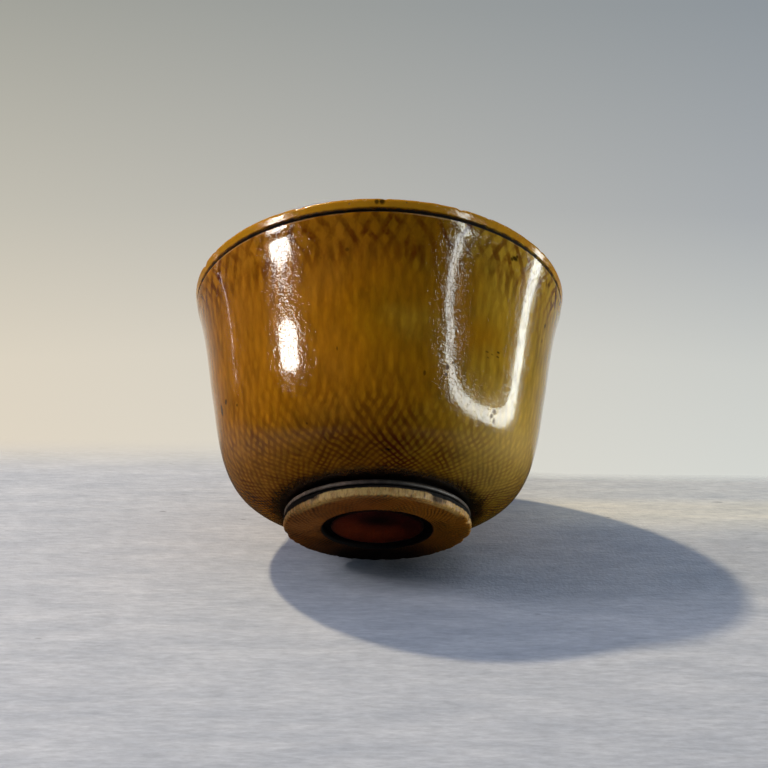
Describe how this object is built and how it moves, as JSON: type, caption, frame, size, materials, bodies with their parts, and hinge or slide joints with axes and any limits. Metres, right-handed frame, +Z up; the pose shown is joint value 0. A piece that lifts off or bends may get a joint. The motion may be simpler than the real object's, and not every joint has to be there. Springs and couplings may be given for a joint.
{
  "type": "wine cup",
  "caption": "Small turned wine cup: a thin bell-shaped bowl with a grooved lip on a low disc foot with a collar ring and a set-in base plug.",
  "frame": {"origin": "centre of the foot's flat resting face", "axes": "+Z up along the lathe axis, from the foot towards the mouth"},
  "size_m": [0.0624, 0.0624, 0.0409],
  "materials": {
    "bowl_ivory": "honey-brown stained ivory, turned and polished to a high gloss",
    "collar_ivory": "dark, dirt-filled turned ivory with a soft shine",
    "foot_ivory": "worn, half-matt turned ivory, pale where it has rubbed",
    "plug_ivory": "red-brown stained ivory, half-matt"
  },
  "bodies": {
    "root": {"bowl": "bowl_ivory", "collar_ring": "collar_ivory", "foot_disc": "foot_ivory", "base_plug": "plug_ivory"}
  },
  "joints": []
}
